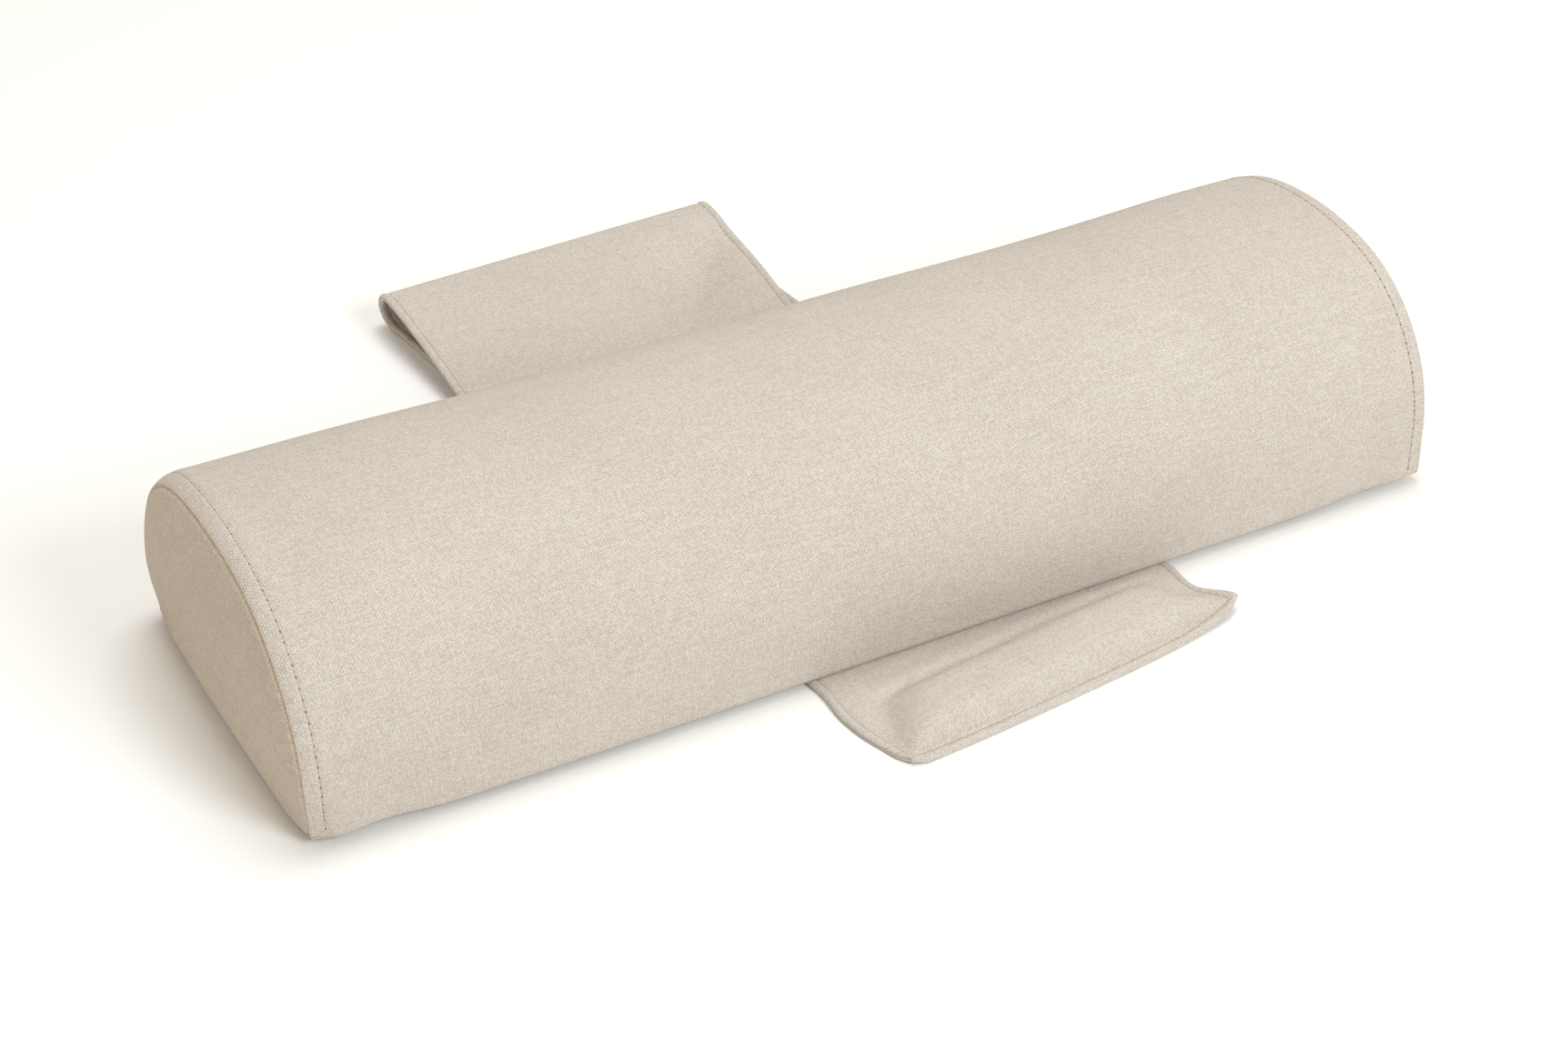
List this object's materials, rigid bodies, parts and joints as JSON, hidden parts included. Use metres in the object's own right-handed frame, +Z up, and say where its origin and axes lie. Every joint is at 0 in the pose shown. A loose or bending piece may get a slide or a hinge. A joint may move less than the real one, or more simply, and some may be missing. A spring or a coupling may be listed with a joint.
{
  "type": "lumbar support cushion",
  "caption": "Half-roll lumbar cushion with a zipped cloth cover and a wide cloth strap folded under it that ends in a counterweight pocket.",
  "frame": {"origin": "on the surface the cushion lies on, under the middle of its flat base, on the underside of the folded strap", "axes": "+X along the cushion's length, +Y towards the side where the strap is sewn on, +Z up from the flat base to the crown"},
  "size_m": [0.6, 0.473, 0.1139],
  "materials": {
    "cover_cloth": "matte",
    "strap_cloth": "matte",
    "foam": "matte",
    "fibre": "matte",
    "zip_tape": "matte",
    "zip_coil": "satin",
    "zip_metal": "satin",
    "felt": "matte",
    "weight_steel": "satin"
  },
  "bodies": {
    "cushion": {"foam_core": "foam", "fibre_wrap": "fibre", "cover_top_panel": "cover_cloth", "cover_end_panel_left": "cover_cloth", "cover_end_panel_right": "cover_cloth", "cover_base_front": "cover_cloth", "cover_base_rear": "cover_cloth", "zip_tape_front": "zip_tape", "zip_tape_rear": "zip_tape", "zip_coil_front": "zip_coil", "zip_coil_rear": "zip_coil", "zip_stop_left": "zip_metal", "zip_stop_right": "zip_metal", "strap_seam_allowance": "strap_cloth"},
    "strap_upper": {"strap_upper_face": "strap_cloth", "strap_upper_lining": "strap_cloth", "strap_fold": "strap_cloth"},
    "strap_lower": {"strap_lower_face": "strap_cloth", "strap_lower_lining": "strap_cloth"},
    "weight_pocket": {"weight_pocket_back": "strap_cloth", "weight_pocket_front": "strap_cloth", "counterweight_sleeve": "felt", "counterweight_bar": "weight_steel"},
    "zip_slider": {"zip_slider": "zip_metal"},
    "zip_pull": {"zip_pull": "zip_metal"}
  },
  "joints": [
    {"name": "strap_seam_hinge", "type": "hinge", "parent": "cushion", "child": "strap_upper", "pos_m": [0, 0.102, 0.005], "axis": [1, 0, 0], "range_deg": [0, 75]},
    {"name": "strap_fold_hinge", "type": "hinge", "parent": "strap_upper", "child": "strap_lower", "pos_m": [0, 0.285, 0.012], "axis": [0.9984, 0.0558, 0], "range_deg": [0, 180], "deforming": ["strap_fold"]},
    {"name": "pocket_hinge", "type": "hinge", "parent": "strap_lower", "child": "weight_pocket", "pos_m": [0.04503, -0.11648, 0.0015], "axis": [0.9938, 0.1115, 0], "range_deg": [-30, 90]},
    {"name": "zip_slide", "type": "slide", "parent": "cushion", "child": "zip_slider", "axis": [1, 0, 0], "range_m": [0, 0.54]},
    {"name": "pull_hinge", "type": "hinge", "parent": "zip_slider", "child": "zip_pull", "pos_m": [-0.27, 0.057, 0.0042], "axis": [0, 1, 0], "range_deg": [0, 170]}
  ]
}
